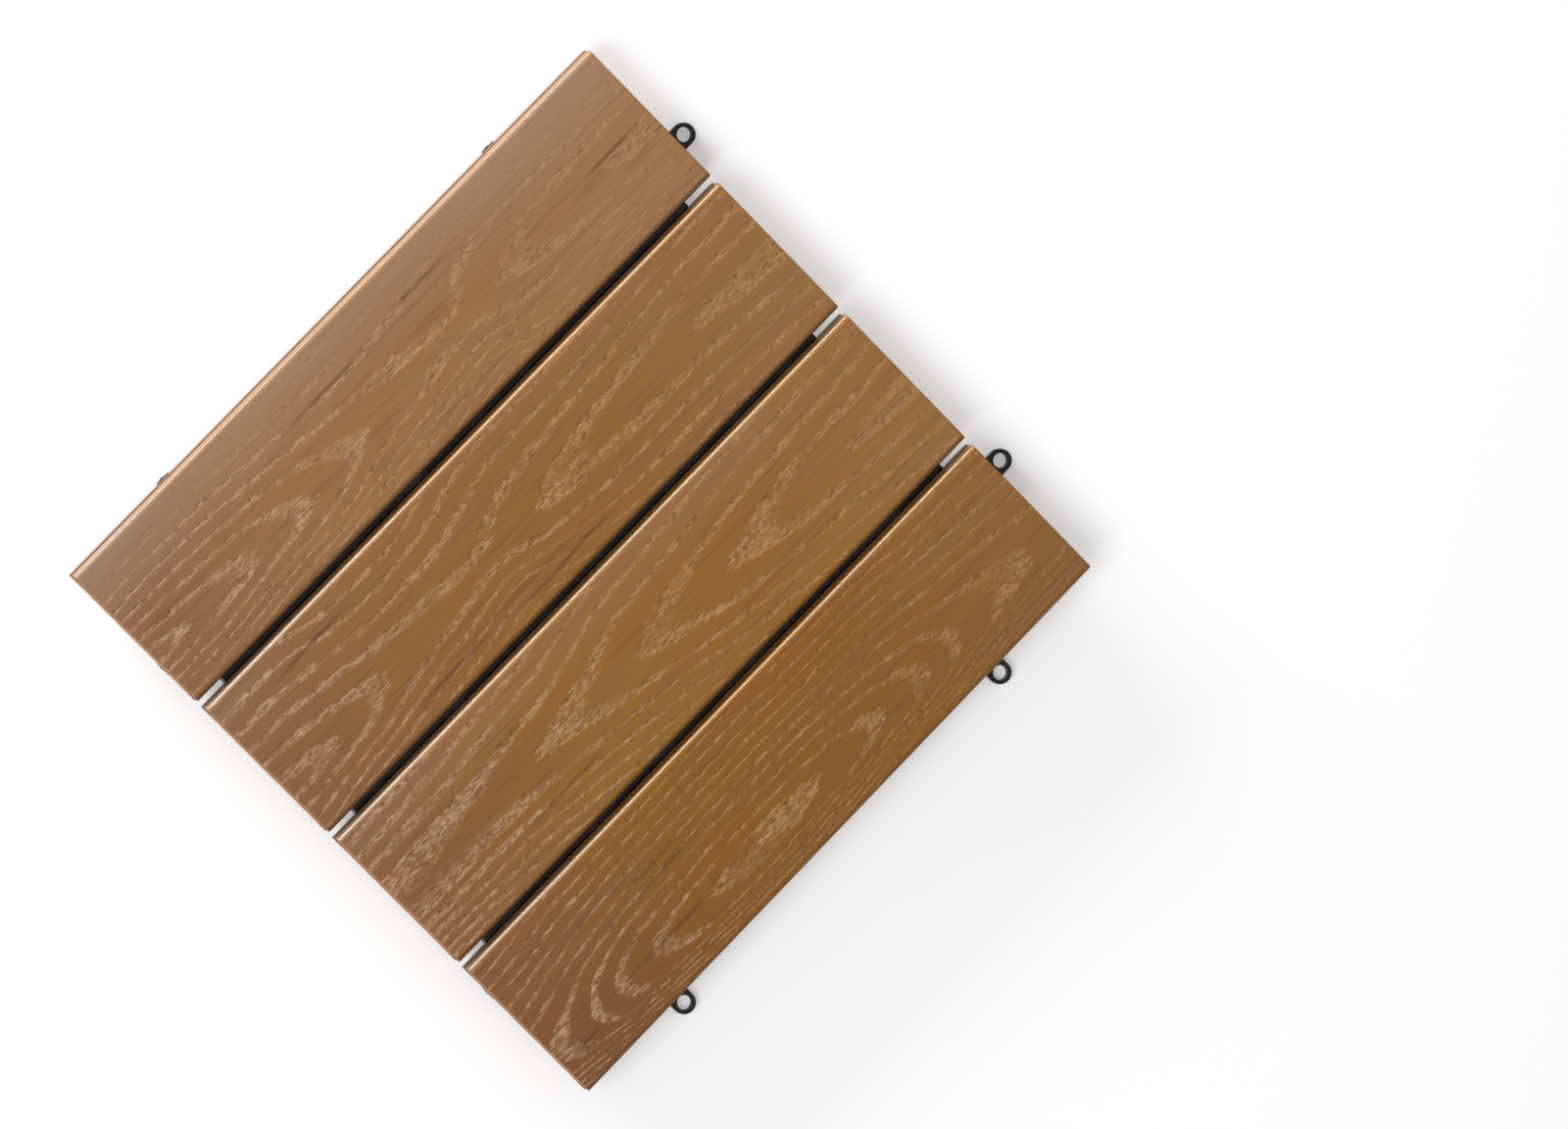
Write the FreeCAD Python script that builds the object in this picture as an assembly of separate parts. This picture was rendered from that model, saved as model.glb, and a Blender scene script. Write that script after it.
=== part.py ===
import FreeCAD, Part
import os

# Interlocking deck tile, in millimetres: grooved composite boards screwed from below
# to a one-piece moulded base that hooks onto the bases of the tiles around it.
# The origin is on the floor under the middle of the deck, +X along the boards,
# +Y across them and +Z up.

# Deck boards
BOARD_COUNT = 4
BOARD_LENGTH = 300.0
BOARD_WIDTH = 72.0
BOARD_THICKNESS = 13.0
BOARD_GAP = 4.0
TOP_EDGE_RADIUS = 2.5
BOTTOM_EDGE_BEVEL = 0.8

# Groove along both sides of a board, with the lip that it leaves below
LIP_HEIGHT = 4.5
GROOVE_HEIGHT = 3.5
GROOVE_DEPTH = 4.5

# Shallow flutes along the underside of a board, on each side of its plain middle
FLUTES_EACH_SIDE = 3
FLUTE_WIDTH = 4.0
FLUTE_DEPTH = 1.0
FLUTE_SLANT = 0.5
MIDDLE_LAND = 12.0
EDGE_LAND = 6.0

# Moulded base, an open lattice of ribs inside a wall
BASE_INSET = 14.0
BASE_HEIGHT = 10.0
RIB_THICKNESS = 2.4
RIB_CLEAR_OF_FLOOR = 2.5
CROSS_RIB_SPACING = 28.0
LONG_RIBS_PER_BOARD = 4

# Spacers that stand up from the base between the boards
SPACER_CLEARANCE = 0.3
SPACER_BELOW_LIP = 0.5
SPACER_BEVEL = 0.8

# Square feet under the spacers
FEET_PER_SPACER = 5
FOOT_SIDE = 10.0
FOOT_BEVEL = 0.6

# Screws and the square bosses that take them
SCREWS_PER_BOARD = 2
SCREW_ROW_INSET = 22.0
SCREW_RADIUS = 1.9
SCREW_LENGTH = 13.0
TIP_LENGTH = 1.5
HEAD_RADIUS = 4.0
HEAD_HEIGHT = 2.4
PILOT_CLEARANCE = 0.05
PILOT_END_CLEARANCE = 0.4
BOSS_HOLE_CLEARANCE = 0.25
BOSS_WALL = 2.0
RECESS_CLEARANCE = 0.5
RECESS_DEPTH = 5.0

# Interlock: loops on two sides, and on the other two the pegs that drop into the
# loops of the next tile
TILE_GAP = 4.0
CONNECTOR_OFFSET = 95.0
CONNECTOR_ROOT = 22.0
PEG_RADIUS = 2.85
PEG_EDGE_CLEARANCE = 0.3
PEG_BEVEL = 0.5
LOOP_CLEARANCE = 0.25
LOOP_WALL = 1.8
LOOP_THICKNESS = 3.0
LOOP_CLEAR_OF_FLOOR = 0.5
TONGUE_CLEARANCE = 0.5
TONGUE_THICKNESS = 2.5
TONGUE_WIDTH = 10.0
TONGUE_CORNER = 2.0
WEB_THICKNESS = 2.4
WEB_BELOW_TOP = 1.0

# Worked out from the sizes above
BOARD_PITCH = BOARD_WIDTH + BOARD_GAP
DECK_WIDTH = BOARD_COUNT * BOARD_WIDTH + (BOARD_COUNT - 1) * BOARD_GAP
HALF_LENGTH = BOARD_LENGTH / 2
HALF_WIDTH = DECK_WIDTH / 2
BASE_HALF_X = HALF_LENGTH - BASE_INSET
BASE_HALF_Y = HALF_WIDTH - BASE_INSET
SPACER_THICKNESS = BOARD_GAP - 2 * SPACER_CLEARANCE
SPACER_TOP = BASE_HEIGHT + LIP_HEIGHT - SPACER_BELOW_LIP
BOSS_HOLE_RADIUS = SCREW_RADIUS + BOSS_HOLE_CLEARANCE
RECESS_RADIUS = HEAD_RADIUS + RECESS_CLEARANCE
BOSS_SIDE = 2 * (RECESS_RADIUS + BOSS_WALL)
PILOT_RADIUS = SCREW_RADIUS + PILOT_CLEARANCE
PILOT_TOP = RECESS_DEPTH + SCREW_LENGTH + PILOT_END_CLEARANCE
LOOP_HOLE_RADIUS = PEG_RADIUS + LOOP_CLEARANCE
LOOP_RADIUS = LOOP_HOLE_RADIUS + LOOP_WALL
LOOP_TOP = LOOP_CLEAR_OF_FLOOR + LOOP_THICKNESS
TONGUE_BOTTOM = LOOP_TOP + TONGUE_CLEARANCE
PEG_INSET = PEG_RADIUS + PEG_EDGE_CLEARANCE
LOOP_REACH = TILE_GAP + PEG_INSET
ROOT = -BASE_INSET - CONNECTOR_ROOT

UP = FreeCAD.Vector(0, 0, 1)
ALONG = FreeCAD.Vector(1, 0, 0)
ACROSS = FreeCAD.Vector(0, 1, 0)
CENTRE = FreeCAD.Vector(0, 0, 0)


def evenly(reach, count):
    """Count places from -reach to +reach, with equal steps."""
    return [reach * (2 * i / (count - 1) - 1) for i in range(count)]


def board_middles():
    """The Y of each board's middle line, from the +Y side down."""
    first = (BOARD_COUNT - 1) * BOARD_PITCH / 2
    return [first - i * BOARD_PITCH for i in range(BOARD_COUNT)]


def gap_middles():
    """The Y of the middle of each gap between two boards."""
    return [y - BOARD_PITCH / 2 for y in board_middles()[:-1]]


def screw_rows():
    """The X of each row of screws."""
    return evenly(BASE_HALF_X - SCREW_ROW_INSET, SCREWS_PER_BOARD)


def screw_places():
    """The X and Y of every screw."""
    return [(x, y) for y in board_middles() for x in screw_rows()]


def foot_places():
    """The X and Y of every foot, from one row of screws to the other."""
    feet = evenly(max(screw_rows()), FEET_PER_SPACER)
    return [(x, y) for y in gap_middles() for x in feet]


def polygon_face(points):
    """A flat face with straight sides through the points."""
    return Part.Face(Part.makePolygon(points + points[:1]))


def rod(radius, bottom, top, x, y):
    """An upright cylinder."""
    return Part.makeCylinder(radius, top - bottom, FreeCAD.Vector(x, y, bottom))


def flute_outline():
    """Points of the flutes on one half of a board's underside, from the middle outwards."""
    pitch = (BOARD_WIDTH / 2 - EDGE_LAND - MIDDLE_LAND / 2) / FLUTES_EACH_SIDE
    points = []
    for i in range(FLUTES_EACH_SIDE):
        middle = MIDDLE_LAND / 2 + (i + 0.5) * pitch
        points.append((middle - FLUTE_WIDTH / 2, 0))
        points.append((middle - FLUTE_WIDTH / 2 + FLUTE_SLANT, FLUTE_DEPTH))
        points.append((middle + FLUTE_WIDTH / 2 - FLUTE_SLANT, FLUTE_DEPTH))
        points.append((middle + FLUTE_WIDTH / 2, 0))
    return points


def side_outline():
    """Points of one side of a board, from its underside up to its top corner."""
    side = BOARD_WIDTH / 2
    groove_top = LIP_HEIGHT + GROOVE_HEIGHT
    return [
        (side - BOTTOM_EDGE_BEVEL, 0),
        (side, BOTTOM_EDGE_BEVEL),
        (side, LIP_HEIGHT),
        (side - GROOVE_DEPTH, LIP_HEIGHT),
        (side - GROOVE_DEPTH, groove_top),
        (side, groove_top),
        (side, BOARD_THICKNESS),
    ]


def plain_board():
    """A board without its holes, its underside at Z 0: the section drawn out, top edges rounded."""
    half = flute_outline() + side_outline()
    outline = half + [(-y, z) for y, z in reversed(half)]
    section = polygon_face([FreeCAD.Vector(-HALF_LENGTH, y, z) for y, z in outline])
    board = section.extrude(ALONG * BOARD_LENGTH)
    long_edges = [edge for edge in board.Edges if edge.BoundBox.XLength > HALF_LENGTH]
    top_edges = [edge for edge in long_edges if edge.BoundBox.ZMin > BOARD_THICKNESS - TOP_EDGE_RADIUS]
    return board.makeFillet(TOP_EDGE_RADIUS, top_edges)


def deck_board(middle):
    """A board lying on the base, with a pilot hole for each of its screws."""
    board = plain_board()
    board.translate(FreeCAD.Vector(0, middle, BASE_HEIGHT))
    return board.cut([rod(PILOT_RADIUS, BASE_HEIGHT, PILOT_TOP, x, middle) for x in screw_rows()])


def cross_ribs():
    """The X of the ribs across the boards, two of them on the rows of screws."""
    reach = max(screw_rows())
    steps = max(1, round(reach / CROSS_RIB_SPACING))
    return evenly(reach, 2 * steps + 1)


def long_ribs():
    """The Y of the ribs along the boards, one of them under each gap."""
    count = BOARD_COUNT * LONG_RIBS_PER_BOARD
    return evenly(BOARD_COUNT * BOARD_PITCH / 2, count + 1)


def cell_spans(half, ribs):
    """(start, end) of the clear space between each rib and the next, walls included.

    A rib that would crowd the wall is left out.
    """
    wall = half - RIB_THICKNESS / 2
    spacing = ribs[1] - ribs[0]
    inner = [place for place in ribs if abs(place) < wall - spacing / 2]
    lines = [-wall] + inner + [wall]
    return [(a + RIB_THICKNESS / 2, b - RIB_THICKNESS / 2) for a, b in zip(lines, lines[1:])]


def frame(x0, x1, y0, y1):
    """A rectangular wire at the level of the ribs' lower edges."""
    corners = [(x0, y0), (x1, y0), (x1, y1), (x0, y1), (x0, y0)]
    return Part.makePolygon([FreeCAD.Vector(x, y, RIB_CLEAR_OF_FLOOR) for x, y in corners])


def lattice():
    """The open grid of upright ribs inside its wall, which carries the boards."""
    wires = [frame(-BASE_HALF_X, BASE_HALF_X, -BASE_HALF_Y, BASE_HALF_Y)]
    for x0, x1 in cell_spans(BASE_HALF_X, cross_ribs()):
        for y0, y1 in cell_spans(BASE_HALF_Y, long_ribs()):
            wires.append(frame(x0, x1, y0, y1))
    plan = Part.makeFace(wires, "Part::FaceMakerBullseye")
    return plan.extrude(UP * (BASE_HEIGHT - RIB_CLEAR_OF_FLOOR))


def spacer(y):
    """The long spacer between two boards, its top edges bevelled to lead the boards in."""
    side = SPACER_THICKNESS / 2
    outline = [
        (-side, RIB_CLEAR_OF_FLOOR),
        (side, RIB_CLEAR_OF_FLOOR),
        (side, SPACER_TOP - SPACER_BEVEL),
        (side - SPACER_BEVEL, SPACER_TOP),
        (SPACER_BEVEL - side, SPACER_TOP),
        (-side, SPACER_TOP - SPACER_BEVEL),
    ]
    points = [FreeCAD.Vector(-BASE_HALF_X, y + across, z) for across, z in outline]
    return polygon_face(points).extrude(ALONG * (2 * BASE_HALF_X))


def pad(side, x, y):
    """A square block from the floor up to the boards, with its lower edges bevelled."""
    corner = FreeCAD.Vector(x - side / 2, y - side / 2, 0)
    block = Part.makeBox(side, side, BASE_HEIGHT, corner)
    lower = [edge for edge in block.Edges if edge.BoundBox.ZMax < FOOT_BEVEL]
    return block.makeChamfer(FOOT_BEVEL, lower)


def web(bottom, reach):
    """The upright web on a connector, level at its root and sloping down outside the wall."""
    top = BASE_HEIGHT - WEB_BELOW_TOP
    outline = [(ROOT, bottom), (reach, bottom), (-BASE_INSET, top), (ROOT, top)]
    points = [FreeCAD.Vector(x, -WEB_THICKNESS / 2, z) for x, z in outline]
    return polygon_face(points).extrude(ACROSS * WEB_THICKNESS)


def loop():
    """A flat loop on its arm as it stands at the +X side, with X from the edge of the deck."""
    corner = FreeCAD.Vector(ROOT, -LOOP_RADIUS, LOOP_CLEAR_OF_FLOOR)
    arm = Part.makeBox(LOOP_REACH - ROOT, 2 * LOOP_RADIUS, LOOP_THICKNESS, corner)
    ring = rod(LOOP_RADIUS, LOOP_CLEAR_OF_FLOOR, LOOP_TOP, LOOP_REACH, 0)
    brace = web(LOOP_CLEAR_OF_FLOOR, LOOP_REACH - LOOP_RADIUS)
    hole = rod(LOOP_HOLE_RADIUS, LOOP_CLEAR_OF_FLOOR, LOOP_TOP, LOOP_REACH, 0)
    return arm.fuse([ring, brace]).cut(hole)


def peg():
    """A tongue with a peg under its end, drawn at the +X side, with X from the edge of the deck."""
    end = PEG_RADIUS - PEG_INSET
    side = TONGUE_WIDTH / 2
    outline = [
        (ROOT, -side),
        (end - TONGUE_CORNER, -side),
        (end, TONGUE_CORNER - side),
        (end, side - TONGUE_CORNER),
        (end - TONGUE_CORNER, side),
        (ROOT, side),
    ]
    tongue = polygon_face([FreeCAD.Vector(x, y, TONGUE_BOTTOM) for x, y in outline])
    tip = FreeCAD.Vector(-PEG_INSET, 0, LOOP_CLEAR_OF_FLOOR)
    cone = Part.makeCone(PEG_RADIUS - PEG_BEVEL, PEG_RADIUS, PEG_BEVEL, tip)
    shank = rod(PEG_RADIUS, LOOP_CLEAR_OF_FLOOR + PEG_BEVEL, TONGUE_BOTTOM, -PEG_INSET, 0)
    brace = web(TONGUE_BOTTOM, end - PEG_RADIUS)
    return tongue.extrude(UP * TONGUE_THICKNESS).fuse([cone, shank, brace])


def on_two_sides(connector, turn):
    """Four copies of a connector: two on the +X side and two on the -Y side, turned by an angle."""
    placed = []
    for offset in (-CONNECTOR_OFFSET, CONNECTOR_OFFSET):
        end = connector.translated(FreeCAD.Vector(HALF_LENGTH, offset, 0))
        side = connector.rotated(CENTRE, UP, -90)
        side.translate(FreeCAD.Vector(offset, -HALF_WIDTH, 0))
        placed.append(end.rotated(CENTRE, UP, turn))
        placed.append(side.rotated(CENTRE, UP, turn))
    return placed


def screw_holes():
    """The hole of each screw through its boss, with the recess for its head below."""
    holes = [rod(BOSS_HOLE_RADIUS, 0, BASE_HEIGHT, x, y) for x, y in screw_places()]
    return holes + [rod(RECESS_RADIUS, 0, RECESS_DEPTH, x, y) for x, y in screw_places()]


def moulded_base():
    """The base: lattice, spacers, feet, screw bosses, loops and pegs, all moulded in one."""
    pieces = [spacer(y) for y in gap_middles()]
    pieces += [pad(FOOT_SIDE, x, y) for x, y in foot_places()]
    pieces += [pad(BOSS_SIDE, x, y) for x, y in screw_places()]
    pieces += on_two_sides(loop(), 0)
    pieces += on_two_sides(peg(), 180)
    return lattice().fuse(pieces).cut(screw_holes()).removeSplitter()


def screw(x, y):
    """A pan-head screw driven up through its boss into the board."""
    point = RECESS_DEPTH + SCREW_LENGTH
    outline = [
        (0, RECESS_DEPTH - HEAD_HEIGHT),
        (HEAD_RADIUS, RECESS_DEPTH - HEAD_HEIGHT),
        (HEAD_RADIUS, RECESS_DEPTH),
        (SCREW_RADIUS, RECESS_DEPTH),
        (SCREW_RADIUS, point - TIP_LENGTH),
        (0, point),
    ]
    section = polygon_face([FreeCAD.Vector(r, 0, z) for r, z in outline])
    return section.revolve(CENTRE, UP, 360).translated(FreeCAD.Vector(x, y, 0))


def save(name, shape):
    """Write one piece as its own STEP file."""
    shape.exportStep(f"parts/{name}.step")


os.makedirs("parts", exist_ok=True)
for number, middle in enumerate(board_middles(), start=1):
    save(f"deck_board_{number}", deck_board(middle))
save("moulded_base", moulded_base())
save("board_screws", Part.makeCompound([screw(x, y) for x, y in screw_places()]))
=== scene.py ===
"""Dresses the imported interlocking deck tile: embossed composite boards on a moulded base."""

from __future__ import annotations

import logging
import math
from dataclasses import dataclass
from enum import Enum
from functools import cache

import bpy
import numpy as np
from bpy.types import ID, Material, NodeOutputs, NodeSocket, NodeTree, Object, World
from mathutils import Matrix, Vector

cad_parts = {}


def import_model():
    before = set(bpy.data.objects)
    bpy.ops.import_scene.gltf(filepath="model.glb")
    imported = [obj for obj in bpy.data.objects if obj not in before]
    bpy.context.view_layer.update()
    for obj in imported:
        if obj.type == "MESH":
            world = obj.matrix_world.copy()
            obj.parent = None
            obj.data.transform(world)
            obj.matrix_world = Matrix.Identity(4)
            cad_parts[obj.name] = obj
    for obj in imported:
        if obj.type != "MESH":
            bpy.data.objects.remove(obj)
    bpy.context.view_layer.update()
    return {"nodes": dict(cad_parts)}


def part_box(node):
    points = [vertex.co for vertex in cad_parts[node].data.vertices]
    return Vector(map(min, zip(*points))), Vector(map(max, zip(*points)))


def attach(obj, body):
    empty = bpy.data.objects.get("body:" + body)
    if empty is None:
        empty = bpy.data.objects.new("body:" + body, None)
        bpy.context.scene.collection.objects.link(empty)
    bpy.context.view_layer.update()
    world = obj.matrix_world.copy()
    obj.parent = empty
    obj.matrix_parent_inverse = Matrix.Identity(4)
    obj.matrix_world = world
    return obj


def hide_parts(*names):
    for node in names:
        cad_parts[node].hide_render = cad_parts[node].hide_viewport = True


MM = 0.001
PER_METRE = 1000.0
Array = np.ndarray
Colour = tuple[float, float, float]
Pair = tuple[float, float]
Curve = tuple[tuple[float, ...], tuple[float, ...]]

log = logging.getLogger("deck_tile")


class Surface(Enum):
    """The material slots of a board's mesh."""

    SKIN = 0
    CORE = 1


class Kind(Enum):
    """What a socket of a node group carries."""

    NUMBER = "NodeSocketFloat"
    COLOUR = "NodeSocketColor"


def rgba(colour: Colour) -> tuple[float, float, float, float]:
    """The colour with full alpha."""
    return (*colour, 1.0)


def srgb(*levels: int) -> Colour:
    """A screen colour as linear values.

    Args:
        levels: Its red, green and blue from 0 to 255.

    Returns:
        The same colour as a shader needs it.
    """
    shares = [level / 255 for level in levels]
    return tuple(s / 12.92 if s <= 0.04045 else ((s + 0.055) / 1.055) ** 2.4 for s in shares)


MAUVE = srgb(134, 93, 68)
DEEP_BROWN = srgb(66, 36, 14)
# The next two colours paint a highlight on the boards' rounded +Y edges.
PAINTED_HIGHLIGHT_GOLD = srgb(204, 158, 88)
PAINTED_HIGHLIGHT_CREAM = srgb(226, 206, 178)
UMBER = srgb(112, 68, 36)
PALE = srgb(198, 164, 134)
# Pale grey for a painted sheen near the boards' +Y edges, partly their own paler tone.
PAINTED_SHEEN_TONE = srgb(173, 151, 134)
WHITE = (1.0, 1.0, 1.0, 1.0)


def curve_at(x: Array, curve: Curve) -> Array:
    """A smooth curve through a few values.

    Args:
        x: Where the curve is wanted.
        curve: Places, rising, and the values there.

    Returns:
        The curve's value at each x.
    """
    at, of = (np.array(numbers, float) for numbers in curve)
    steps = np.diff(of) / np.diff(at)
    slopes = np.concatenate([[steps[0]], (steps[:-1] + steps[1:]) / 2, [steps[-1]]])
    turns = np.concatenate([[False], steps[:-1] * steps[1:] <= 0, [False]])
    slopes[turns] = 0
    i = np.clip(np.searchsorted(at, x) - 1, 0, len(at) - 2)
    gap = at[i + 1] - at[i]
    t = np.clip((x - at[i]) / gap, 0, 1)
    rest = 1 - t
    start = of[i] * (1 + 2 * t) + slopes[i] * gap * t
    end = of[i + 1] * (1 + 2 * rest) - slopes[i + 1] * gap * rest
    return start * rest**2 + end * t**2


@dataclass(frozen=True)
class Waver:
    """A noise's weight, and its size along and across the board in millimetres."""

    weight: float
    along: float
    across: float


@dataclass
class StretchedNoise:
    """Smooth noise drawn out along a board, the same in every run.

    It is read on the grid of the board's face: places along the board from its left end, and
    across it from its middle line, in millimetres.
    """

    seed: int
    x: Array
    y: Array
    layers: int = 3
    peak: float = 1.5

    def __post_init__(self) -> None:
        """Starts the number series."""
        self.series = np.random.default_rng(self.seed)

    def layer(self, waver: Waver, shift: Array | float = 0.0, finer: int = 0) -> Array:
        """One layer of noise.

        Args:
            waver: Its weight and size.
            shift: How far across the board each place is read.
            finer: How many times the weight and the size are halved.

        Returns:
            Values from minus the weight to the weight.
        """
        y = self.y + shift
        u = (self.x - self.x.min()) / (waver.along / 2**finer) + self.series.random()
        v = (y - y.min()) / (waver.across / 2**finer) + self.series.random()
        i = np.floor(u).astype(int)
        j = np.floor(v).astype(int)
        table = self.series.uniform(-1, 1, (i.max() + 2, j.max() + 2))
        s = (u - i) ** 2 * (3 - 2 * (u - i))
        t = (v - j) ** 2 * (3 - 2 * (v - j))
        low = table[i, j] * (1 - s) + table[i + 1, j] * s
        high = table[i, j + 1] * (1 - s) + table[i + 1, j + 1] * s
        return waver.weight * (low * (1 - t) + high * t) / 2**finer

    def cloud(self, waver: Waver) -> Array:
        """Several layers of noise, each finer and weaker than the last."""
        return sum(self.layer(waver, finer=n) for n in range(self.layers)) / self.peak


@dataclass(frozen=True)
class SawnGrain:
    """The rings of a plain-sawn board, as the emboss copies them.

    A ring shows where the distance from the pith is a whole number of ring widths. Each curve
    runs along the board: places from its left end in millimetres, then the values there. Depths
    are in ring widths, the line is measured from the board's middle. Bands are broad out to about
    the heart's reach from that line. Above it a pinch draws rings together, and below it they
    crowd from a distance on.
    """

    depth: Curve
    line: Curve
    width_above: Curve
    width_below: Curve
    seed: int
    heart: float
    heart_level: float = 1.5
    pinch: Curve = ((0, 300), (0, 0))
    pinch_reach: float = 12.0
    core: float = 0.0
    full_core: bool = False
    crowd: float = 0.0
    crowd_from: float = 8.0
    spacing_limits: Pair = (2.0, 40.0)
    broad_from: float = 5.0
    broad_over: float = 12.0
    sway: Waver = Waver(1.3, 45, 22)
    ripple: Waver = Waver(0.25, 9, 2.2)
    drift: Waver = Waver(0.05, 16, 5)
    jitter: Waver = Waver(0.06, 4, 0.8)

    def rings(self, noise: StretchedNoise) -> tuple[Array, Array, Array]:
        """The ring number at each place, growing away from the pith.

        Args:
            noise: The board's noise, which makes the rings waver.

        Returns:
            Ring numbers, whole on a ring's outer edge, the width of a ring at each place, and
            how broad its band is there, from 0 to 1.
        """
        x, y = noise.x, noise.y
        aside = y - curve_at(x, self.line)
        aside = aside + noise.cloud(self.sway) + noise.layer(self.ripple)
        pinch = np.where(aside > 0, curve_at(x, self.pinch), 0)
        aside = aside * (1 + pinch * np.exp(-((aside / self.pinch_reach) ** 2)))
        aside = aside - self.crowd * np.clip(-aside - self.crowd_from, 0, None)
        above = curve_at(x, self.width_above)
        below = curve_at(x, self.width_below)
        width = np.where(aside > 0, above, below)
        rings = np.sqrt((aside / width) ** 2 + curve_at(x, self.depth) ** 2) - self.core
        slope_x, slope_y = np.gradient(rings, x[:, 0], y[0])
        spacing = np.clip(1 / np.hypot(slope_x, slope_y), *self.spacing_limits)
        near = self.heart_level - np.abs(aside) / self.heart
        broad = np.maximum((spacing - self.broad_from) / self.broad_over, near)
        waver = noise.layer(self.drift) + noise.layer(self.jitter)
        return rings + waver, spacing, np.clip(broad, 0, 1)


# Used for the painted sheen and the painted shade over the boards, each partly the board's own
# tone.
@dataclass(frozen=True)
class Wash:
    """A tone that lies over part of a board: its share along the board times that across it."""

    along: Curve = ((0, 300), (1, 1))
    across: Curve = ((0, 72), (0, 0))

    def share(self, x: Array, aside: Array) -> Array:
        """How much of the tone there is, from the left end and the upper edge on."""
        return curve_at(x, self.along) * curve_at(aside, self.across)


@dataclass(frozen=True)
class BoardLook:
    """What sets one board apart: its grain, its share of the colours, its painted light and shade.

    Strength, breadth and across shape the bands. A streak is its start, its end and its line,
    from the board's left end and its middle.
    """

    grain: SawnGrain
    ground: Colour
    warm: Colour
    tan: Colour
    streaks: tuple[tuple[float, float, float], ...]
    strength: Curve = ((0, 60, 240, 300), (1, 1, 0.85, 0.7))
    across: Curve = ((0, 72), (1, 1))
    breadth: Curve = ((0, 300), (1, 1))
    # How dark the painted shade is on the −Y edge over the gap.
    gap_painted_shade: float = 0.7
    # Strength of the painted highlight and of the gloss coat on the board's +Y edge.
    painted_highlight_and_polish: float = 1.0
    # Painted sheen near the +Y edge, partly the board's own paler tone.
    painted_sheen_and_tone: Wash = Wash()
    # Painted shade over part of the board, partly its own darker tone.
    painted_shade_and_tone: Wash = Wash()


@dataclass(frozen=True)
class Pores:
    """Short pores pressed along the board wherever a band is, sizes in millimetres."""

    count: int = 7000
    half_lengths: Pair = (0.5, 1.5)
    widths: Pair = (0.18, 0.28)
    lean: float = 0.03
    depths: Pair = (0.45, 1.0)
    least_depth: float = 0.45
    chance: float = 0.97
    stray: float = 0.018
    reach_along: float = 1.3
    reach_across: float = 2.2

    def press(self, bands: Array, noise: StretchedNoise) -> Array:
        """Presses the pores into the face.

        Args:
            bands: Strength of the bands.
            noise: The board's noise.

        Returns:
            Depth of the pores, from 0 to 1.
        """
        x, y, series = noise.x[:, 0], noise.y[0], noise.series
        pressed = np.zeros_like(bands)
        step_x = x[1] - x[0]
        step_y = y[1] - y[0]
        drawn = zip(
            series.uniform(x[0], x[-1], self.count),
            series.uniform(y[0], y[-1], self.count),
            series.uniform(*self.half_lengths, self.count),
            series.uniform(*self.widths, self.count),
            series.normal(0, self.lean, self.count),
            series.uniform(*self.depths, self.count),
            series.random(self.count),
        )
        for middle_x, middle_y, half, width, lean, depth, luck in drawn:
            i = int((middle_x - x[0]) / step_x)
            j = int((middle_y - y[0]) / step_y)
            strength = bands[i, j]
            if luck > strength * self.chance + self.stray:
                continue
            reach_i = int(half * self.reach_along / step_x) + 1
            reach_j = int(width * self.reach_across / step_y) + 1
            rows = slice(max(i - reach_i, 0), i + reach_i + 2)
            columns = slice(max(j - reach_j, 0), j + reach_j + 2)
            dx = (x[rows] - middle_x)[:, None]
            dy = (y[columns] - middle_y)[None, :] - lean * dx
            weight = depth * min(self.least_depth + strength, 1)
            mark = weight * np.exp(-((dx / half) ** 4) - (dy / width) ** 2)
            pressed[rows, columns] = np.maximum(pressed[rows, columns], mark)
        return pressed


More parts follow.
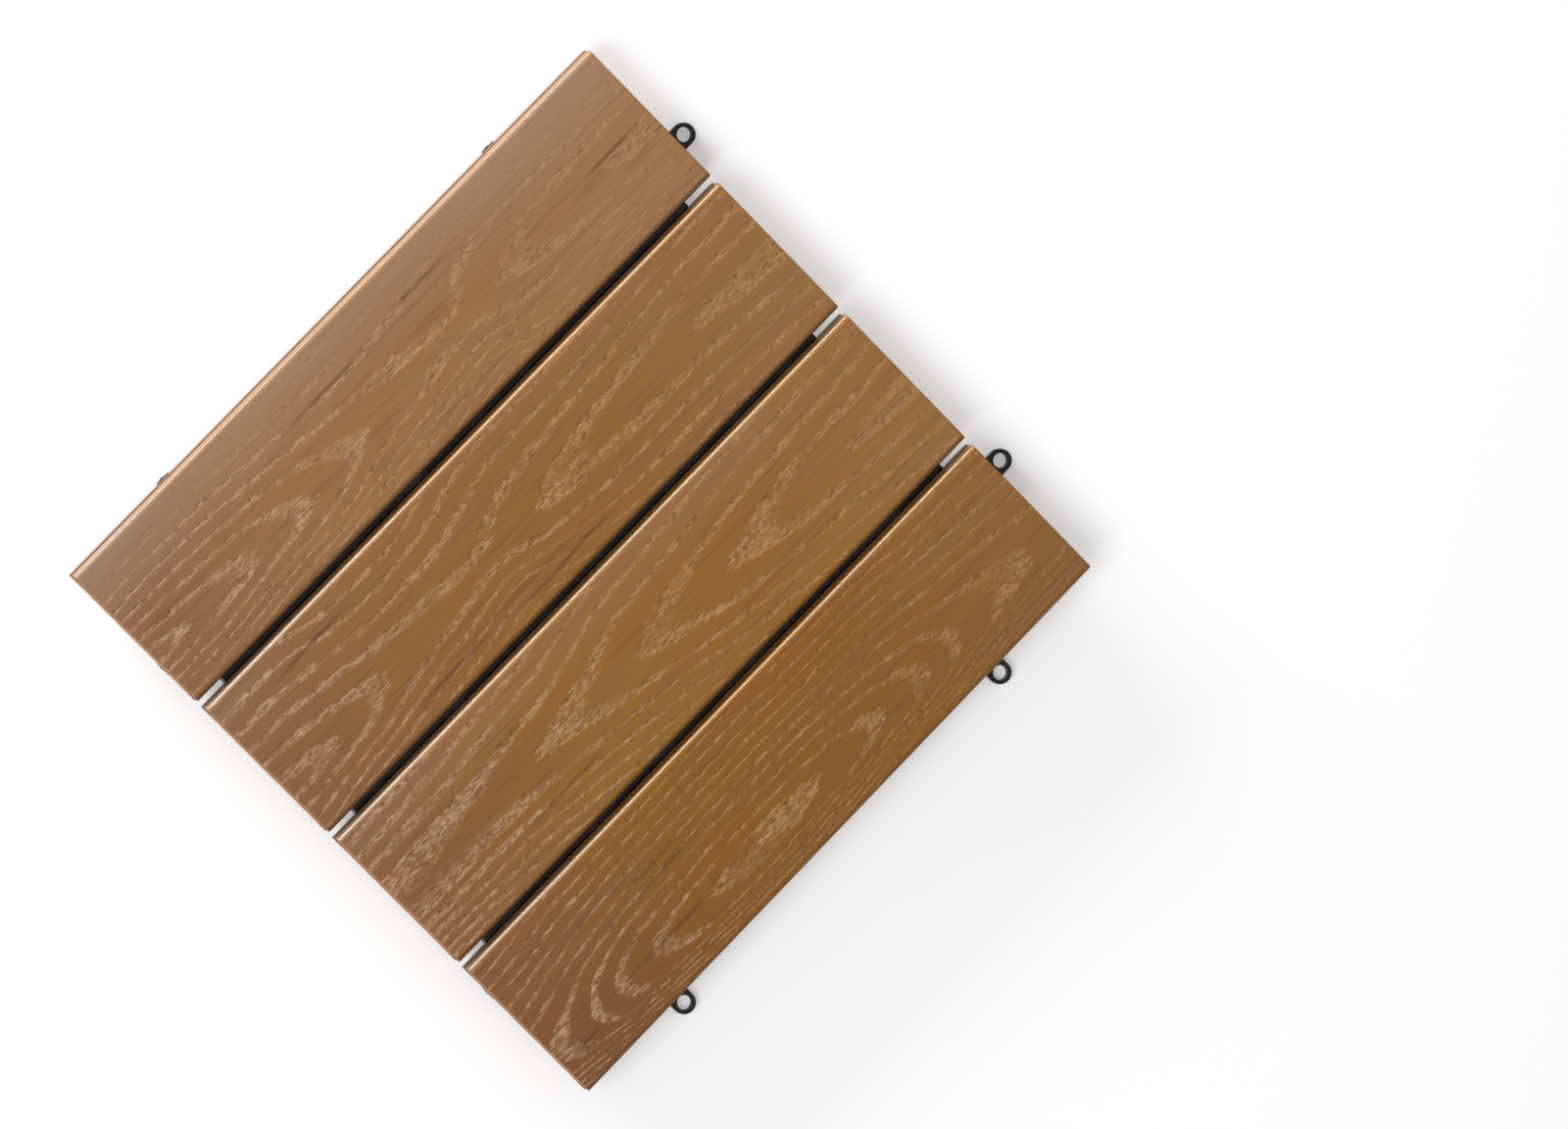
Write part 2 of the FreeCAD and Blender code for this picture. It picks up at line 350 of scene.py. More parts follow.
@dataclass
class DeckBoard:
    """One composite board with its emboss, sizes in millimetres and angles in radians."""

    node: str
    look: BoardLook
    length: float = 300.0
    width: float = 72.0
    thickness: float = 13.0
    bottom: float = 10.0
    edge_radius: float = 2.5
    lip: float = 4.5
    groove: float = 3.5
    groove_depth: float = 4.5
    lower_bevel: float = 0.8
    flute_middles: tuple[float, ...] = (10.0, 18.0, 26.0)
    flute_width: float = 4.0
    flute_depth: float = 1.0
    flute_slant: float = 0.5
    cells_along: int = 375
    cells_across: int = 248
    thin_share: float = 0.26
    wide_share: float = 0.43
    uneven: Waver = Waver(0.25, 30, 6)
    unevenness: float = 1.3
    least_band: float = 0.8
    sharp_edge: float = 0.2
    soft_edge: float = 0.1
    soft_share: float = 0.25
    fullness: float = 0.85
    patches: Waver = Waver(0.8, 26, 3)
    breaks: Waver = Waver(0.7, 5, 1.1)
    dash_shift: Waver = Waver(0.6, 3.5, 1.2)
    dash_net: Waver = Waver(1.0, 2.4, 0.6)
    dash_grit: Waver = Waver(0.5, 1.6, 0.45)
    dash_level: float = 0.6
    dash_contrast: float = 1.7
    ring_sink: float = 0.03
    dash_depth: float = 0.045
    pore_depth: float = 0.12
    pores: Pores = Pores()
    bare_edge: float = 1.5
    fade_over: float = 3.0
    streak_slant: float = 0.02
    streak_width: float = 0.8
    streak_fullness: float = 1.2
    streak_drift: Waver = Waver(0.5, 20, 30)
    # Where the painted highlight starts on the rounded +Y edge, in radians of its turn.
    painted_highlight_from: float = 0.3
    painted_highlight_over: float = 0.4
    # Over what turn of the −Y edge the painted shade grows, in radians.
    painted_shade_over: float = 0.9

    def __post_init__(self) -> None:
        """Finds the board's place from its CAD node, and lays out the grid of its face."""
        low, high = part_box(self.node)
        self.middle = (low[1] + high[1]) / 2 / MM
        self.left = low[0] / MM
        self.across, self.side, self.height = self.top_section()
        along = np.linspace(0, self.length, self.cells_along + 1)
        x, y = np.meshgrid(along, self.across, indexing="ij")
        self.noise = StretchedNoise(self.look.grain.seed, x, y)

    def top_section(self) -> tuple[Array, Array, Array]:
        """The section of the upper face and both rounded edges.

        Returns:
            Distance across the developed face, and Y and Z of each point.
        """
        radius = self.edge_radius
        flat = self.width / 2 - radius
        reach = flat + radius * math.pi / 2
        along = np.linspace(-reach, reach, self.cells_across + 1)
        over = np.clip(np.abs(along) - flat, 0, None) / radius
        y = np.sign(along) * (np.minimum(np.abs(along), flat) + radius * np.sin(over))
        z = self.thickness - radius * (1 - np.cos(over))
        return along, y, z

    def lower_section(self) -> list[Pair]:
        """The rest of the section, from the right edge down, under and up the left edge.

        Returns:
            Y and Z of each corner.
        """
        side = self.width / 2
        inner = side - self.groove_depth
        groove_top = self.lip + self.groove
        right = [(side, groove_top), (inner, groove_top), (inner, self.lip), (side, self.lip)]
        right += [(side, self.lower_bevel), (side - self.lower_bevel, 0.0)]
        half = self.flute_width / 2
        floor = half - self.flute_slant
        for middle in reversed(self.flute_middles):
            right += [(middle + half, 0.0), (middle + floor, self.flute_depth)]
            right += [(middle - floor, self.flute_depth), (middle - half, 0.0)]
        return right + [(-y, z) for y, z in reversed(right)]

    def bands(self) -> Array:
        """Where the emboss roughens the face: a band just inside each ring's sharp outer edge.

        Returns:
            How strongly each place is roughened, from 0 to 1.
        """
        look, noise = self.look, self.noise
        rings, spacing, broad = look.grain.rings(noise)
        inside = (np.ceil(rings) - rings) * spacing
        share = self.thin_share + (self.wide_share - self.thin_share) * broad
        share = share * (1 + noise.cloud(self.uneven) * (self.unevenness - broad))
        if look.grain.full_core:
            share = np.where(rings < 1, 1.0, share)
        share = share * spacing * curve_at(noise.x, look.breadth)
        reach = np.maximum(share, self.least_band)
        outer = np.clip(inside / self.sharp_edge, 0, 1)
        inner = np.clip((reach - inside) / (self.soft_share * reach + self.soft_edge), 0, 1)
        patchy = self.fullness + noise.cloud(self.patches)
        patchy = np.clip(patchy + (1 - broad) * noise.layer(self.breaks), 0, 1)
        strength = curve_at(noise.x, look.strength)
        strength = strength * curve_at(self.width / 2 - noise.y, look.across)
        return outer * inner * patchy * strength

    def dashes(self, bands: Array) -> Array:
        """The net of short dashes that fills a band.

        Args:
            bands: Strength of the bands.

        Returns:
            How far each place stands up between the dashes, from 0 to 1.
        """
        shift = self.noise.layer(self.dash_shift)
        net = self.noise.layer(self.dash_net, shift) + self.noise.layer(self.dash_grit)
        return bands * np.clip(self.dash_level + self.dash_contrast * net, 0, 1)

    def dark_streaks(self) -> Array:
        """Dark streaks in the colour.

        Returns:
            Strength of the streaks, from 0 to 1.
        """
        x, y = self.noise.x, self.noise.y
        total = np.zeros_like(x)
        for start, end, line in self.look.streaks:
            middle = (start + end) / 2
            half = (end - start) / 2
            drift = y - line - self.streak_slant * (x - middle)
            drift = drift + self.noise.layer(self.streak_drift)
            along = np.clip(self.streak_fullness - ((x - middle) / half) ** 2, 0, 1)
            total = np.maximum(total, along * np.exp(-((drift / self.streak_width) ** 2)))
        return total

    def build(self) -> Object:
        """Makes the board, embossed, with its finishes.

        Returns:
            The board's object, riding on the tile and standing for its CAD node.
        """
        x, across = self.noise.x, self.across
        bands = self.bands()
        dashes = self.dashes(bands)
        pores = self.pores.press(bands, self.noise)
        fade = np.clip((across[-1] - np.abs(across) - self.bare_edge) / self.fade_over, 0, 1)
        sink = self.ring_sink * bands + self.dash_depth * (bands - dashes) + self.pore_depth * pores
        sink = sink * fade
        flat = self.width / 2 - self.edge_radius
        angle = np.clip(np.abs(across) - flat, 0, None) / self.edge_radius
        points = np.empty((*x.shape, 3))
        points[..., 0] = self.left + x
        points[..., 1] = self.middle + self.side - sink * (np.sign(across) * np.sin(angle))
        points[..., 2] = self.bottom + self.height - sink * np.cos(angle)
        # The rounded +Y edge, turned to the side lamp, gets a painted highlight and a gloss coat.
        painted_highlight = np.clip((angle - self.painted_highlight_from) / self.painted_highlight_over, 0, 1) * (across > 0)
        # The rounded −Y edge over the gap, turned from the side lamp, gets painted shade.
        gap = np.clip(angle / self.painted_shade_over, 0, 1) * (across < 0)
        aside = self.width / 2 - self.noise.y
        values = {
            "band": bands * fade,
            "dash": dashes * fade,
            "pore": pores * fade,
            "streak": self.dark_streaks(),
            "painted_highlight": np.broadcast_to(self.look.painted_highlight_and_polish * painted_highlight, x.shape),
            # Painted sheen, partly the board's own paler tone.
            "painted_sheen_and_tone": self.look.painted_sheen_and_tone.share(x, aside),
            # Painted shade, partly the board's own darker tone.
            "painted_shade_and_tone": self.look.painted_shade_and_tone.share(x, aside),
            "gap": np.broadcast_to(gap, x.shape),
        }
        return self.assemble(points, values)

    def assemble(self, points: Array, values: dict[str, Array]) -> Object:
        """Closes the embossed face with the board's sides, underside and cut ends.

        Args:
            points: The face's points, rows along the board.
            values: What is stored on each point for the finish.

        Returns:
            The board's object.
        """
        rows, columns = points.shape[:2]
        count = rows * columns
        lower = self.lower_section()
        ends = (self.left, self.left + self.length)
        extra = [(x, self.middle + y, self.bottom + z) for x in ends for y, z in lower]
        vertices = np.vstack([points.reshape(-1, 3), np.array(extra)]) * MM
        index = np.arange(count).reshape(rows, columns)
        quads = np.stack([index[:-1, :-1], index[1:, :-1], index[1:, 1:], index[:-1, 1:]], -1)
        faces: list[list[int]] = quads.reshape(-1, 4).tolist()
        smooth = [True] * len(faces)
        near = list(range(count, count + len(lower)))
        far = list(range(count + len(lower), len(vertices)))
        faces.append([near[0], far[0], *reversed(index[:, -1].tolist())])
        faces.append([*index[:, 0].tolist(), far[-1], near[-1]])
        for n in range(len(lower) - 1):
            faces.append([near[n], near[n + 1], far[n + 1], far[n]])
        slots = [Surface.SKIN.value] * len(faces) + [Surface.CORE.value] * len(ends)
        faces.append([*index[0].tolist(), *near])
        faces.append([*reversed(index[-1].tolist()), *reversed(far)])
        smooth += [False] * (len(faces) - len(smooth))
        mesh = bpy.data.meshes.new(f"{self.node}_embossed")
        mesh.from_pydata(vertices.tolist(), [], faces)
        mesh.polygons.foreach_set("use_smooth", smooth)
        mesh.polygons.foreach_set("material_index", slots)
        for name, grid in values.items():
            layer = mesh.attributes.new(name, "FLOAT", "POINT")
            flat = np.zeros(len(vertices), np.float32)
            flat[:count] = grid.reshape(-1)
            layer.data.foreach_set("value", flat)
        mesh.validate()
        mesh.update()
        board = put_in_scene(f"{self.node}_embossed", mesh)
        mesh.materials.append(CompositeSkin(f"{self.node}_skin", self.look).build())
        mesh.materials.append(CompositeCore(f"{self.node}_core", self.middle).build())
        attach(board, "root")
        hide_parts(self.node)
        return board


def put_in_scene(name: str, data: ID) -> Object:
    """Makes an object and links it to the scene.

    Args:
        name: Its name.
        data: Its mesh, lamp or camera.

    Returns:
        The object.
    """
    made = bpy.data.objects.new(name, data)
    bpy.context.scene.collection.objects.link(made)
    return made


@dataclass(frozen=True)
class Fibre:
    """A noise drawn out along the boards: its size in millimetres, finer layers and shift."""

    along: float
    across: float
    detail: float
    shift: float
    skew: float = 1.7
    roughness: float = 0.55


@dataclass(frozen=True)
class Ramp:
    """A range of a value, and what the value becomes at its two ends."""

    low: float
    high: float
    at_low: float = 0.0
    at_high: float = 1.0


class Nodes:
    """Short calls for building a node tree."""

    def __init__(self, tree: NodeTree) -> None:
        """Takes an empty tree."""
        self.tree = tree

    def add(self, kind: str, inputs: dict[str | int, object], **settings: object) -> NodeOutputs:
        """Adds a node and feeds it.

        Args:
            kind: The node's Blender type.
            inputs: What its inputs get, by name or number: outputs of nodes, numbers or colours.
            settings: Its properties.

        Returns:
            Its outputs.
        """
        node = self.tree.nodes.new(kind)
        for name, value in settings.items():
            setattr(node, name, value)
        for name, value in inputs.items():
            if isinstance(value, NodeSocket):
                self.tree.links.new(value, node.inputs[name])
            else:
                node.inputs[name].default_value = value
        return node.outputs

    def maths(self, operation: str, *values: object) -> NodeSocket:
        """The result of a maths node."""
        return self.add("ShaderNodeMath", dict(enumerate(values)), operation=operation)[0]

    def times(self, first: object, second: object) -> NodeSocket:
        """One value times another."""
        return self.maths("MULTIPLY", first, second)

    def blend(self, share: object, first: object, second: object) -> NodeSocket:
        """The first colour with a share of the second one."""
        return self.add("ShaderNodeMix", {0: share, 6: first, 7: second}, data_type="RGBA")[2]

    def spread(self, value: NodeSocket, ramp: Ramp) -> NodeSocket:
        """What a ramp makes of a value."""
        inputs = dict(enumerate((value, ramp.low, ramp.high, ramp.at_low, ramp.at_high)))
        return self.add("ShaderNodeMapRange", inputs, interpolation_type="SMOOTHSTEP")[0]

    def place(self) -> NodeSocket:
        """Places in the tile's frame, in metres."""
        return self.add("ShaderNodeTexCoord", {})["Object"]

    def fibres(self, place: NodeSocket, fibre: Fibre) -> NodeSocket:
        """Noise drawn out along the boards.

        Args:
            place: Coordinates in metres.
            fibre: Its size, layers and shift.

        Returns:
            The noise, around 0.5.
        """
        across = PER_METRE / fibre.across
        location = (fibre.shift, fibre.shift * fibre.skew, 0)
        size = (PER_METRE / fibre.along, across, across)
        drawn = {"Vector": place, "Location": location, "Scale": size}
        look = {"Scale": 1, "Detail": fibre.detail, "Roughness": fibre.roughness}
        look["Vector"] = self.add("ShaderNodeMapping", drawn)[0]
        return self.add("ShaderNodeTexNoise", look)["Fac"]

    def grains(self, size: float) -> NodeOutputs:
        """The mask and height of the speckle, with grains of a size in millimetres."""
        return self.add("ShaderNodeGroup", {"Size": size}, node_tree=FineSpeckle().build())

    def bump(self, height: NodeSocket, strength: float, depth: float) -> NodeSocket:
        """The normal of a bump that follows a height, its depth in millimetres."""
        inputs = {"Strength": strength, "Distance": depth * MM, "Height": height}
        return self.add("ShaderNodeBump", inputs)[0]

    def seen(self) -> NodeSocket:
        """Tells camera, glossy and transmission rays from the light on the tile.

        Returns:
            1 for those rays and 0 for the rest.
        """
        rays = self.add("ShaderNodeLightPath", {})
        seen = self.maths("MAXIMUM", rays["Is Camera Ray"], rays["Is Glossy Ray"])
        return self.maths("MAXIMUM", seen, rays["Is Transmission Ray"])

    def principled(self, inputs: dict[str | int, object]) -> None:
        """Ends a material with one Principled shader."""
        shader = self.add("ShaderNodeBsdfPrincipled", inputs)[0]
        self.add("ShaderNodeOutputMaterial", {"Surface": shader})


def emptied(holder: Material | World) -> Nodes:
    """Empties the node tree of a material or world.

    Args:
        holder: The material or world.

    Returns:
        Its nodes, none so far.
    """
    holder.use_nodes = True
    holder.node_tree.nodes.clear()
    return Nodes(holder.node_tree)


def new_group(name: str, inputs: dict[str, Kind], outputs: dict[str, Kind]) -> Nodes:
    """Starts a node group.

    Args:
        name: Its name.
        inputs: The names of its inputs and what they carry.
        outputs: The same for its outputs.

    Returns:
        The group's nodes, none so far.
    """
    tree = bpy.data.node_groups.new(name, "ShaderNodeTree")
    for side, sockets in (("INPUT", inputs), ("OUTPUT", outputs)):
        for socket, kind in sockets.items():
            tree.interface.new_socket(socket, in_out=side, socket_type=kind.value)
    return Nodes(tree)


FACE_VALUES = ("Band", "Dash", "Pore", "Streak", "Painted_Highlight", "Gap", "Painted_Sheen_And_Tone", "Painted_Shade_And_Tone")


@dataclass(frozen=True)
class CompositeFace:
    """How the emboss, the streaks in the colour and painted light and shade make the boards' face.

    Each fibre is a noise, and each ramp says how much of a tone a value brings. The ramps of the
    tile's ends and of the dashes and noses run along X, in metres.
    """

    zones: Fibre = Fibre(120, 17, 1, 3.1)
    mauve: Fibre = Fibre(80, 2.6, 2, 7.7)
    brown: Fibre = Fibre(60, 2.0, 2, 12.9)
    fine: Fibre = Fibre(14, 0.6, 2, 1.3)
    grit: Fibre = Fibre(1.9, 0.36, 1, 5.9)
    warm_zones: Ramp = Ramp(0.38, 0.62)
    mauve_zones: Ramp = Ramp(0.5, 0.72, 0, 0.5)
    mauve_end: Ramp = Ramp(-0.15, -0.05, 0.55, 0)
    pale_end: Ramp = Ramp(0.03, 0.15, 0, 0.09)
    brown_zones: Ramp = Ramp(0.56, 0.74, 0, 0.4)
    dark_fibres: Ramp = Ramp(0.3, 0.7, 0.14, 0)
    dash_grit: Ramp = Ramp(0.35, 0.6, 0.2, 1)
    pale_dashes: Ramp = Ramp(-0.15, 0.02, 0.6, 0)
    streak_fibres: Ramp = Ramp(0.2, 0.7, 0.28, 0.62)
    # Painted highlight on the +Y edges: cream at the left end, golden from the middle on.
    cream_painted_highlight: Ramp = Ramp(-0.15, 0.0, 1, 0)
    band_tan: float = 0.15
    pore_dark: float = 0.75
    painted_highlight_share: float = 0.3
    nose_polish: float = 0.85
    roughness: float = 0.42
    band_roughness: float = 0.12
    fibre_roughness: Ramp = Ramp(0, 1, -0.05, 0.05)
    fibre_height: float = 0.15
    band_height: float = 0.6

    @cache
    def build(self) -> NodeTree:
        """Builds the group once.

        Returns:
            The group: colour, roughness, polish and height.
        """
        nodes = new_group(
            "composite_face",
            dict.fromkeys((*FACE_VALUES, "Gap_Painted_Shade"), Kind.NUMBER)
            | dict.fromkeys(("Ground", "Warm", "Tan"), Kind.COLOUR),
            {"Colour": Kind.COLOUR} | dict.fromkeys(("Roughness", "Polish", "Height"), Kind.NUMBER),
        )
        given = nodes.add("NodeGroupInput", {})
        place = nodes.place()
        along = nodes.add("ShaderNodeSeparateXYZ", {0: place})["X"]
        fine = nodes.fibres(place, self.fine)
        grit = nodes.fibres(place, self.grit)
        zones = nodes.spread(nodes.fibres(place, self.zones), self.warm_zones)
        shade = nodes.blend(zones, given["Ground"], given["Warm"])
        tones = (
            (nodes.fibres(place, self.mauve), self.mauve_zones, MAUVE),
            (along, self.mauve_end, MAUVE),
            (along, self.pale_end, PALE),
            (nodes.fibres(place, self.brown), self.brown_zones, UMBER),
            (fine, self.dark_fibres, DEEP_BROWN),
        )
        for source, ramp, tone in tones:
            shade = nodes.blend(nodes.spread(source, ramp), shade, rgba(tone))
        # Bands and dashes turn tan, paler towards the left end: partly a paler grain colour and
        # dust, partly a painted highlight on the emboss.
        dash = nodes.times(given["Dash"], nodes.spread(grit, self.dash_grit))
        tan = nodes.blend(nodes.spread(along, self.pale_dashes), given["Tan"], rgba(PALE))
        streak = nodes.times(given["Streak"], nodes.spread(fine, self.streak_fibres))
        # Colour of the painted highlight on the +Y edges.
        painted_highlight = nodes.blend(nodes.spread(along, self.cream_painted_highlight), rgba(PAINTED_HIGHLIGHT_GOLD), rgba(PAINTED_HIGHLIGHT_CREAM))
        layers = (
            # Painted sheen, partly the boards' own paler tone.
            (given["Painted_Sheen_And_Tone"], rgba(PAINTED_SHEEN_TONE)),
            # Painted shade, partly the boards' own darker tone.
            (given["Painted_Shade_And_Tone"], rgba(UMBER)),
            (nodes.times(given["Band"], self.band_tan), tan),
            (dash, tan),
            (streak, rgba(DEEP_BROWN)),
            # Pores darken with their depth: partly a darker pore colour, partly painted shade in
            # the pressed pores.
            (nodes.times(given["Pore"], self.pore_dark), rgba(DEEP_BROWN)),
            # Painted highlight on the +Y edges.
            (nodes.times(given["Painted_Highlight"], self.painted_highlight_share), painted_highlight),
            # Painted shade on the −Y edges over the gaps.
            (nodes.times(given["Gap"], given["Gap_Painted_Shade"]), rgba(DEEP_BROWN)),
        )
        for share, tone in layers:
            shade = nodes.blend(share, shade, tone)
        rough = nodes.maths("MULTIPLY_ADD", given["Band"], self.band_roughness, self.roughness)
        rough = nodes.maths("ADD", rough, nodes.spread(fine, self.fibre_roughness))
        swell = nodes.maths("MULTIPLY_ADD", given["Band"], self.band_height, self.fibre_height)
        height = nodes.maths("ADD", nodes.times(fine, swell), nodes.times(grit, given["Band"]))
        result = {"Colour": shade, "Roughness": rough, "Height": height}
        result["Polish"] = nodes.times(given["Painted_Highlight"], self.nose_polish)
        nodes.add("NodeGroupOutput", result)
        return nodes.tree


@dataclass(frozen=True)
class FineSpeckle:
    """Fine grains for the cut ends, the moulded plastic and the screws."""

    detail: float = 3.0
    grains: Ramp = Ramp(0.45, 0.7)

    @cache
    def build(self) -> NodeTree:
        """Builds the group once. It takes the size of the grains in millimetres.

        Returns:
            The group: a mask of grains and a height.
        """
        results = {"Mask": Kind.NUMBER, "Height": Kind.NUMBER}
        nodes = new_group("fine_speckle", {"Size": Kind.NUMBER}, results)
        given = nodes.add("NodeGroupInput", {})
        inputs = {"Vector": nodes.place(), "Scale": nodes.maths("DIVIDE", PER_METRE, given["Size"])}
        cells = nodes.add("ShaderNodeTexVoronoi", inputs)["Distance"]
        noise = nodes.add("ShaderNodeTexNoise", {**inputs, "Detail": self.detail})["Fac"]
        mask = nodes.spread(noise, self.grains)
        nodes.add("NodeGroupOutput", {"Mask": mask, "Height": nodes.maths("ADD", cells, noise)})
        return nodes.tree


@dataclass(frozen=True)
class CompositeSkin:
    """The co-extruded, embossed face of a board."""

    name: str
    look: BoardLook
    specular: float = 0.2
    coat_roughness: float = 0.2
    bump: float = 0.35
    bump_depth: float = 0.1

    def build(self) -> Material:
        """Makes the material from the values that the emboss stores on the mesh.

        Returns:
            The material.
        """
        material = bpy.data.materials.new(self.name)
        nodes = emptied(material)
        look = self.look
        inputs = {"Gap_Painted_Shade": look.gap_painted_shade, "Ground": rgba(look.ground)}
        inputs |= {"Warm": rgba(look.warm), "Tan": rgba(look.tan)}
        for name in FACE_VALUES:
            stored = nodes.add("ShaderNodeAttribute", {}, attribute_name=name.lower())
            inputs[name] = stored["Fac"]
        face = nodes.add("ShaderNodeGroup", inputs, node_tree=CompositeFace().build())
        values = {
            "Base Color": face["Colour"],
            "Roughness": face["Roughness"],
            "Specular IOR Level": self.specular,
            "Coat Weight": face["Polish"],
            "Coat Roughness": self.coat_roughness,
            "Normal": nodes.bump(face["Height"], self.bump, self.bump_depth),
        }
        nodes.principled(values)
        return material


@dataclass(frozen=True)
class CompositeCore:
    """The cut end of a board: a coarse core inside a thin skin, sizes in millimetres."""

    name: str
    middle: float
    fill: Colour = srgb(178, 115, 62)
    chips: Colour = srgb(198, 142, 88)
    skin: Colour = srgb(162, 110, 60)
    skin_fade: Ramp = Ramp(0.64 * MM, 0.88 * MM, 1, 0)
    half_width: float = 36.0
    top: float = 23.0
    grain_size: float = 0.6
    roughness: float = 0.75
    bump: float = 0.6
    bump_depth: float = 0.2

    def build(self) -> Material:
        """Makes the material, with the skin drawn by its distance from the outline.

        Returns:
            The material.
        """
        material = bpy.data.materials.new(self.name)
        nodes = emptied(material)
        grains = nodes.grains(self.grain_size)
        colour = nodes.blend(grains["Mask"], rgba(self.fill), rgba(self.chips))
        place = nodes.add("ShaderNodeSeparateXYZ", {0: nodes.place()})
        aside = nodes.maths("ABSOLUTE", nodes.maths("SUBTRACT", place["Y"], self.middle * MM))
        edge = nodes.maths("SUBTRACT", self.half_width * MM, aside)
        over = nodes.maths("SUBTRACT", self.top * MM, place["Z"])
        skin = nodes.spread(nodes.maths("MINIMUM", edge, over), self.skin_fade)
        values = {
            "Base Color": nodes.blend(skin, colour, rgba(self.skin)),
            "Roughness": self.roughness,
            "Normal": nodes.bump(grains["Height"], self.bump, self.bump_depth),
        }
        nodes.principled(values)
        return material


@dataclass(frozen=True)
class MouldedPlastic:
    """Black polypropylene with a fine moulded grain, sizes in millimetres."""

    name: str = "base_plastic"
    dark: Colour = (0.007, 0.0065, 0.006)
    worn: Colour = (0.024, 0.023, 0.022)
    grain_size: float = 0.6
    flow_size: float = 14.0
    roughness: float = 0.36
    grain_roughness: float = 0.15
    specular: float = 0.2
    bump: float = 0.25
    bump_depth: float = 0.05

    def build(self) -> Material:
        """Makes the material.

        Returns:
            The material.
        """
        material = bpy.data.materials.new(self.name)
        nodes = emptied(material)
        grains = nodes.grains(self.grain_size)
        flow = nodes.grains(self.flow_size)["Mask"]
        rough = nodes.maths("MULTIPLY_ADD", grains["Mask"], self.grain_roughness, self.roughness)
        values = {
            "Base Color": nodes.blend(flow, rgba(self.dark), rgba(self.worn)),
            "Roughness": rough,
            "Specular IOR Level": self.specular,
            "Normal": nodes.bump(grains["Height"], self.bump, self.bump_depth),
        }
        nodes.principled(values)
        return material


@dataclass(frozen=True)
class ScrewSteel:
    """Plain stainless steel with a fine uneven sheen."""

    name: str = "screw_steel"
    bright: Colour = (0.6, 0.6, 0.6)
    dull: Colour = (0.46, 0.46, 0.47)
    grain_size: float = 0.35
    roughness: float = 0.28
    grain_roughness: float = 0.2

    def build(self) -> Material:
        """Makes the material.

        Returns:
            The material.
        """
        material = bpy.data.materials.new(self.name)
        nodes = emptied(material)
        grains = nodes.grains(self.grain_size)["Mask"]
        colour = nodes.blend(grains, rgba(self.bright), rgba(self.dull))
        rough = nodes.maths("MULTIPLY_ADD", grains, self.grain_roughness, self.roughness)
        nodes.principled({"Base Color": colour, "Roughness": rough, "Metallic": 1.0})
        return material


